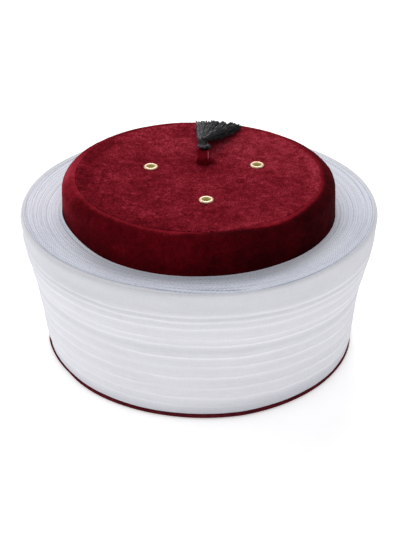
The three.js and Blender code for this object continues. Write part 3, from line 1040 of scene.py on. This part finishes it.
def side_painted_light(theta, radius, z):
    """Painted light on the wall: painted shade low down and at the right, painted light at the left and
    front, and the lit top's brighter colour on the shoulder up to the fold edge and at the back.
    """
    left = spot(theta, SIDE_LIGHT_LEFT)
    wall = SIDE_LIGHT_AND_SHADE["left"] * left * smooth_step(*SIDE_LIGHT_LEFT_Z, z)
    wall = wall - SIDE_LIGHT_AND_SHADE["low"] * (1 - smooth_step(*SIDE_SHADE_LOW_Z, z))
    wall = wall - spot(theta, SIDE_SHADE_RIGHT) + spot(theta, SIDE_LIGHT_FRONT)
    fold = round_table(theta, FOLD_EDGE, "radius")
    crest = 1 - smooth_step(fold - FOLD_SOFTNESS, fold + FOLD_SOFTNESS, radius)
    crest = np.where(z > SHOULDER_Z, crest, 0.0)
    crest_tone = SIDE_LIGHT_AND_SHADE["crest"] + SIDE_LIGHT_AND_SHADE["crest_left"] * left
    behind = spot(theta, SIDE_LIGHT_BEHIND) * (1 - smooth_step(*SIDE_LIGHT_BEHIND_RADII, radius))
    return wall * (1 - crest) + crest * crest_tone + behind * (1 - crest)


def panel_painted_light(theta, radius):
    """Painted light and shade in broad patches on the panel, and a painted shadow beside the stem, off to
    its right.
    """
    total = np.zeros(np.broadcast(theta, radius).shape)
    for patch in PANEL_LIGHT_AND_SHADE:
        total += spot(theta, patch) * hump(radius, patch["radius"], patch["reach"])
    stem_x, stem_y, _ = node_centre("tassel_stem")
    from_x = radius * np.sin(theta) - stem_x - STEM_SHADOW_SHIFT
    from_y = -radius * np.cos(theta) - stem_y
    return total + STEM_SHADOW * hump(np.hypot(from_x, from_y), 0, STEM_SHADOW_REACH)


def wall_points(start, end, steps, inward=0.0):
    """Pairs of radius and height along the crown's wall, or inside it."""
    levels = [CROWN_FOOT_Z, CROWN_WAIST_Z, SHOULDER_Z]
    sizes = [CROWN_FOOT_RADIUS, CROWN_WAIST_RADIUS, SHOULDER_RADIUS]
    return [(np.interp(z, levels, sizes) - inward, z) for z in np.linspace(start, end, steps)]


def make_crown_side(material):
    centre = SEAM_RADIUS + SEAM_GAP / 2
    across = SHOULDER_RADIUS - centre
    hidden = wall_points(CROWN_FOOT_Z, HIDDEN_WALL_TOP_Z, SIDE_STEPS["hidden"])
    shown = wall_points(SHOWN_WALL_FOOT_Z, SHOULDER_Z - SHOWN_WALL_END, SIDE_STEPS["shown"])
    shoulder = arc(centre, SHOULDER_Z, across, SHOULDER_RISE, 0, math.pi / 2, SIDE_STEPS["shoulder"])
    within = arc(centre, SHOULDER_Z, across - CROWN_WALL, SHOULDER_RISE - CROWN_WALL, math.pi / 2, 0,
                 SIDE_STEPS["within"])
    inside = wall_points(CROWN_WAIST_Z, CROWN_FOOT_Z, SIDE_STEPS["inside"], CROWN_WALL)
    outline = np.array(hidden + shown + shoulder + within + inside)
    plain_radius, plain_z = outline.T[:, None, :]
    theta = bearings(CROWN_SEGMENTS)
    radii, heights = spun(outline, CROWN_SEGMENTS)
    points = ring_points(theta, radii, heights)
    lumps = noise_relief(points, SIDE_BILLOW) + noise_relief(points, SIDE_PILE)
    upward = np.clip((plain_z - SHOULDER_Z) / SHOULDER_RISE, 0, 1)
    skin = slice(len(hidden), len(hidden) + len(shown) + len(shoulder))
    radii[:, skin] += (lumps * (1 - upward))[:, skin]
    roll = np.clip(1 - (plain_radius - centre) / SEAM_ROLL, 0, 1) ** 2
    crease = seam_depth(theta) * roll
    heights[:, skin] += (lumps * upward + upward * edge_swell(theta, radii) - upward * crease)[:, skin]
    made = ring_object("crown_wall", theta, radii, heights, material)
    add_value(made, "nap_and_painted_light", PLAIN_NAP + side_painted_light(theta, plain_radius, plain_z))
    stands_for(made, "crown_side")


def make_crown_top(material, holes):
    """The panel, with a seam allowance under the wall that closes the seam."""
    edge = SEAM_RADIUS - SEAM_GAP / 2
    under = CROWN_HEIGHT - CROWN_WALL
    below = [(r, under) for r in np.linspace(0, edge - 2 * SEAM_ALLOWANCE, UNDER_RINGS)]
    below += [(edge - SEAM_ALLOWANCE, under - LEDGE_LOW), (edge + SEAM_ALLOWANCE, under - LEDGE_LOW)]
    below += [(edge + SEAM_ALLOWANCE, under - LEDGE_HIGH), (edge, under - LEDGE_HIGH)]
    outline = np.array(below + [(r, CROWN_HEIGHT) for r in np.linspace(edge, 0, TOP_RINGS)])
    theta = bearings(CROWN_SEGMENTS)
    radii, heights = spun(outline, CROWN_SEGMENTS)
    points = ring_points(theta, radii, heights)
    lumps = noise_relief(points, TOP_BILLOW) + noise_relief(points, TOP_PILE)
    roll = np.clip(1 - (edge - radii) / SEAM_ROLL, 0, 1) ** 2
    lumps = lumps + edge_swell(theta, radii) - seam_depth(theta) * roll
    heights[:, len(below):] += lumps[:, len(below):]
    made = ring_object("crown_panel", theta, radii, heights, material, closed=False)
    shows = outline[None, :, 1] > under
    add_value(made, "nap_and_painted_light", PLAIN_NAP + np.where(shows, panel_painted_light(theta, radii), 0.0))
    weld(made)
    for x, y in holes:
        pierce(made, x, y, EYELET_HOLE_RADIUS + EYELET_METAL + HOLE_CLEARANCE)
    stands_for(made, "crown_top")


def pierce(made, x, y, radius):
    """Cuts an upright round hole through the panel."""
    reach = 2 * CROWN_WALL
    outline = [(0, -reach), (radius, -reach), (radius, reach), (0, reach)]
    place = (x, y, CROWN_HEIGHT)
    cutter = turned("cutter", outline, HOLE_SEGMENTS, made.data.materials[0], place, closed=False)
    cut = made.modifiers.new("hole", "BOOLEAN")
    cut.operation = "DIFFERENCE"
    cut.solver = "EXACT"
    cut.object = cutter
    evaluated = made.evaluated_get(bpy.context.evaluated_depsgraph_get())
    result = bpy.data.meshes.new_from_object(evaluated)
    made.modifiers.clear()
    made.data = result
    bpy.data.objects.remove(cutter)


def make_binding():
    half = BINDING_HEIGHT / 2
    straight = np.linspace(BINDING_INNER_RADIUS, BINDING_OUTER_RADIUS - half, BINDING_FLAT_STEPS)
    outline = [(r, 0.0) for r in straight[:-1]]
    outline += arc(straight[-1], half, half, half, -math.pi / 2, math.pi / 2, BINDING_ROUND_STEPS)
    outline += [(r, BINDING_HEIGHT) for r in straight[::-1][1:]]
    material = velvet("velvet_binding", BINDING_SHADES, BINDING_GRAIN)
    theta = bearings(BINDING_SEGMENTS)
    radii, heights = spun(outline, BINDING_SEGMENTS)
    outward = (radii - BINDING_INNER_RADIUS) / (BINDING_OUTER_RADIUS - BINDING_INNER_RADIUS)
    radii = radii - round_table(theta, FOOT_SHAPE, "binding") * outward
    made = ring_object("rim_binding_roll", theta, radii, heights, material)
    add_value(made, "nap_and_painted_light", np.full(radii.shape, PLAIN_NAP))
    stands_for(made, "rim_binding")


# Eyelets, stem and tassel


def make_eyelet(name, material):
    """A rolled flange, and a dull barrel through the panel that is turned out below it."""
    x, y, _ = node_centre(name)
    middle = (EYELET_FLANGE_RADIUS + EYELET_HOLE_RADIUS) / 2
    outside = EYELET_HOLE_RADIUS + EYELET_METAL
    roll_z = -CROWN_WALL - EYELET_ROLL_DROP
    bottom = roll_z - EYELET_METAL
    outline = arc(middle, EYELET_SEAT, EYELET_FLANGE_RADIUS - middle, EYELET_DOME, 0, EYELET_DOME_END,
                  EYELET_DOME_STEPS)
    flange = len(outline)
    lip_z = outline[-1][1] - EYELET_SEAT
    outline += [(EYELET_HOLE_RADIUS, z) for z in np.linspace(lip_z, bottom, EYELET_BARREL_STEPS)]
    outline += [(EYELET_ROLL_RADIUS, bottom), (EYELET_ROLL_RADIUS, roll_z)]
    outline += [(outside, roll_z), (outside, EYELET_SEAT)]
    made = turned(f"{name}_ring", outline, EYELET_SEGMENTS, material, (x, y, CROWN_HEIGHT))
    inside = np.arange(len(outline)) >= flange
    add_value(made, "barrel", np.broadcast_to(inside[None, :], (EYELET_SEGMENTS, len(outline))))
    stands_for(made, name)


def make_stem(material):
    """A velvet tube with a raised seam down its right side, flared where it is sewn to the panel; a painted
    highlight runs along the seam, and painted light brightens the tube above its foot.
    """
    low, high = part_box("tassel_stem")
    x, y, _ = node_centre("tassel_stem")
    height = (high.z - low.z) / MM
    foot = STEM_RADIUS + STEM_FLARE
    top = height - STEM_ROUND
    outline = [(0, 0), (foot, 0), (foot, STEM_FOOT_Z)]
    for t in np.linspace(STEM_FLARE_START, 1, STEM_FLARE_STEPS):
        outline.append((STEM_RADIUS + STEM_FLARE * (1 - t) ** 2, STEM_FOOT_Z + STEM_FLARE_RISE * t))
    outline += [(STEM_RADIUS, z) for z in np.linspace(STEM_TUBE_Z, top, STEM_TUBE_STEPS)]
    outline += arc(STEM_RADIUS - STEM_ROUND, top, STEM_ROUND, STEM_ROUND, STEM_ROUND_START, math.pi / 2,
                   STEM_ROUND_STEPS)
    outline.append((0, height))
    theta = bearings(STEM_SEGMENTS)
    radii, heights = spun(outline, STEM_SEGMENTS)
    outward = np.clip(radii / STEM_RADIUS, 0, 1)
    seam = spot(theta, STEM_SEAM) * outward ** 4
    swollen = radii + spot(theta, STEM_BULGE) * outward + STEM_SEAM_HEIGHT * seam
    points = ring_points(theta, swollen, heights) + np.array([x, y, low.z / MM])
    faces = grid_faces(STEM_SEGMENTS, len(outline), False)
    made = mesh_object("tassel_stem_tube", points, faces, material)
    lit = STEM_NAP_AND_LIGHT["seam"] * seam * smooth_step(*STEM_SEAM_Z, heights)
    lit = lit + STEM_NAP_AND_LIGHT["light"] * hump(heights, STEM_LIGHT_Z, STEM_LIGHT_REACH)
    lit = lit + STEM_NAP_AND_LIGHT["upper"] * smooth_step(*STEM_UPPER_Z, heights)
    add_value(made, "nap_and_painted_light", PLAIN_NAP + lit + STEM_NAP_AND_LIGHT["plain"])
    weld(made)
    stands_for(made, "tassel_stem")


def tube(path, radius, sides):
    """Points and faces of a closed tube along a path, in millimetres."""
    count = len(path)
    tangent = np.gradient(path, axis=0)
    tangent /= np.linalg.norm(tangent, axis=1, keepdims=True)
    across = np.cross(tangent, [0.0, 0.0, 1.0])
    across /= np.linalg.norm(across, axis=1, keepdims=True)
    upward = np.cross(across, tangent)
    angle = (np.arange(sides) / sides * TAU)[None, :, None]
    section = np.cos(angle) * across[:, None, :] + np.sin(angle) * upward[:, None, :]
    points = path[:, None, :] + np.asarray(radius).reshape(-1, 1, 1) * section
    ring, side = np.meshgrid(np.arange(count - 1), np.arange(sides), indexing="ij")
    corners = [ring * sides + side, ring * sides + (side + 1) % sides,
               (ring + 1) * sides + (side + 1) % sides, (ring + 1) * sides + side]
    faces = np.stack(corners, axis=-1).reshape(-1, 4).tolist()
    faces.append(list(range(sides))[::-1])
    faces.append([(count - 1) * sides + s for s in range(sides)])
    return points.reshape(-1, 3), faces


def joined(name, parts, material):
    """One mesh from several pairs of points and faces."""
    faces = []
    start = 0
    for points, part_faces in parts:
        faces += [[start + corner for corner in face] for face in part_faces]
        start += len(points)
    return mesh_object(name, np.concatenate([points for points, _ in parts]), faces, material)


def head_centre():
    stem_x, stem_y, _ = node_centre("tassel_stem")
    stem_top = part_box("tassel_stem")[1].z / MM
    return np.array([stem_x, stem_y, stem_top + HEAD_GAP + HEAD_HALF_HEIGHT])


def strand_tip(draw, spread, layer):
    across = TIPS["left"] + (TIPS["right"] - TIPS["left"]) * spread + draw.normal() * TIPS["stray"]
    back = TIPS["back"] + draw.uniform(*TIPS_RAGGED) * TIPS["ragged"] - TIPS_CORNER * spread ** 4
    back = back - NOTCH["depth"] * hump(spread, NOTCH["spread"], NOTCH["width"])
    above = (TIPS["high"] - TIPS["low"]) * layer * (1 - TIPS_THINNER * spread ** 3)
    return np.array([across, back, CROWN_HEIGHT + TIPS["low"] + above])


def strand_path(draw, spread, layer):
    """A slightly wavy path from inside the bound neck to the strand's tip."""
    bend = np.array([0.0, NECK_BACK, NECK_RISE])
    along = bend / np.linalg.norm(bend)
    sideways = np.array([1.0, 0.0, 0.0])
    tip = strand_tip(draw, spread, layer)
    right, up = 2 * spread - 1, 2 * layer - 1
    root = head_centre() + bend + BUNDLE_RADIUS * right * math.sqrt(1 - up * up / 2) * sideways
    root = root + BUNDLE_RADIUS * up * math.sqrt(1 - right * right / 2) * np.cross(sideways, along)
    t = np.linspace(0, 1, STRAND_STEPS)
    fall = t + (1 - layer) * t * (1 - t)
    path = root + (tip - root) * np.stack([t, t, fall], axis=1)
    for wave in STRAND_WAVES:
        swing = np.sin(t * draw.uniform(*STRAND_WAVE_RATE) + draw.uniform(0, TAU))
        path[:, wave["axis"]] += wave["height"] * t * swing
    return np.concatenate([[root - BUNDLE_START * along], path])


def strand_painted_light(draw, spread, layer, count):
    """The shade of a twisted strand, with painted light: highlight flecks along its twist, painted light at
    the left of the skirt, and painted shade at the right and in the lower layers, so it is lighter on top.
    """
    twist = np.sin(TAU * (HIGHLIGHT_FLECKS * np.linspace(0, 1, count) + draw.uniform(0, 1)))
    tone_and_painted_light = draw.uniform(*STRAND_TONE) + draw.uniform(*FLECK_HIGHLIGHT) * np.clip(twist, 0, 1) ** 2
    tone_and_painted_light = tone_and_painted_light + LEFT_LIGHT * (1 - smooth_step(*LEFT_STRANDS, spread))
    tone_and_painted_light = tone_and_painted_light - RIGHT_SHADE * smooth_step(*RIGHT_STRANDS, spread)
    return tone_and_painted_light * (DEEP_LAYER_LIGHT_SHARE + (1 - DEEP_LAYER_LIGHT_SHARE) * layer)


def make_tassel(material):
    """Strands that leave the neck in a bundle, fan out to the right and lie back over the crown."""
    draw = np.random.default_rng(TASSEL_SEED)
    tubes = []
    tones = []
    for _ in range(STRAND_COUNT):
        spread, layer = draw.uniform(0, 1, 2)
        path = strand_path(draw, spread, layer)
        tubes.append(tube(path, STRAND_RADIUS, STRAND_SIDES))
        tones.append(np.repeat(strand_painted_light(draw, spread, layer, len(path)), STRAND_SIDES))
    made = joined("tassel_skirt", tubes, material)
    add_value(made, "tone_and_painted_light", np.concatenate(tones))
    stands_for(made, "tassel")


def make_tassel_head(material):
    """A flat wound knob on the stem with a painted highlight on its top, darker towards the right, and the
    bound neck that bends back from it.
    """
    centre = head_centre()
    across = np.linspace(0, math.pi, HEAD_STEPS)
    wound = np.sin(across) * (1 + WINDING * np.cos(HEAD_WINDINGS * across))
    knob = ring_points(bearings(HEAD_SEGMENTS), wound[None, :], -np.cos(across)[None, :])
    knob = knob * np.array([HEAD_HALF_WIDTH, HEAD_HALF_DEPTH, HEAD_HALF_HEIGHT])
    tilt = np.array(Matrix.Rotation(HEAD_TILT, 3, "Y"))
    knob = knob @ tilt.T + centre + np.array([HEAD_SHIFT, 0.0, 0.0])
    t = np.linspace(0, 1, NECK_STEPS)
    path = centre + np.stack([0 * t, NECK_BACK * t, NECK_RISE * t], axis=1)
    bound = NECK_RADIUS * (1 + WINDING * np.cos(t * TAU * NECK_WINDINGS))
    neck = tube(path, bound, NECK_SIDES)
    parts = [(knob.reshape(-1, 3), grid_faces(HEAD_SEGMENTS, HEAD_STEPS, False)), neck]
    made = joined("tassel_head", parts, material)
    level = smooth_step(-HEAD_HALF_HEIGHT, HEAD_HALF_HEIGHT, knob[..., 2] - centre[2])
    shade = 1 - HEAD_SHADE * smooth_step(*HEAD_SHADE_X, knob[..., 0] - centre[0])
    lit = HEAD_HIGHLIGHT * level ** 2 * shade
    add_value(made, "tone_and_painted_light", np.concatenate([lit.ravel(), np.full(len(neck[0]), NECK_TONE)]))
    weld(made)
    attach(made, "root")


# The cap


bpy.context.scene.view_settings.view_transform = "Standard"
make_camera()
make_light()
make_floor()

# The top's velvet is a lighter copy of the wall's, with painted sheen
velvet_side = velvet("velvet_side", SIDE_SHADES, SIDE_GRAIN)
velvet_top = velvet("velvet_top", LIT_TOP_SHADES, TOP_GRAIN)
metal = brass()
black_yarn = yarn()

make_wrap()
make_turns()
make_crown_side(velvet_side)
make_crown_top(velvet_top, [tuple(node_centre(name))[:2] for name in EYELET_NAMES])
make_binding()
for eyelet_name in EYELET_NAMES:
    make_eyelet(eyelet_name, metal)
make_stem(velvet_side)
make_tassel(black_yarn)
make_tassel_head(black_yarn)
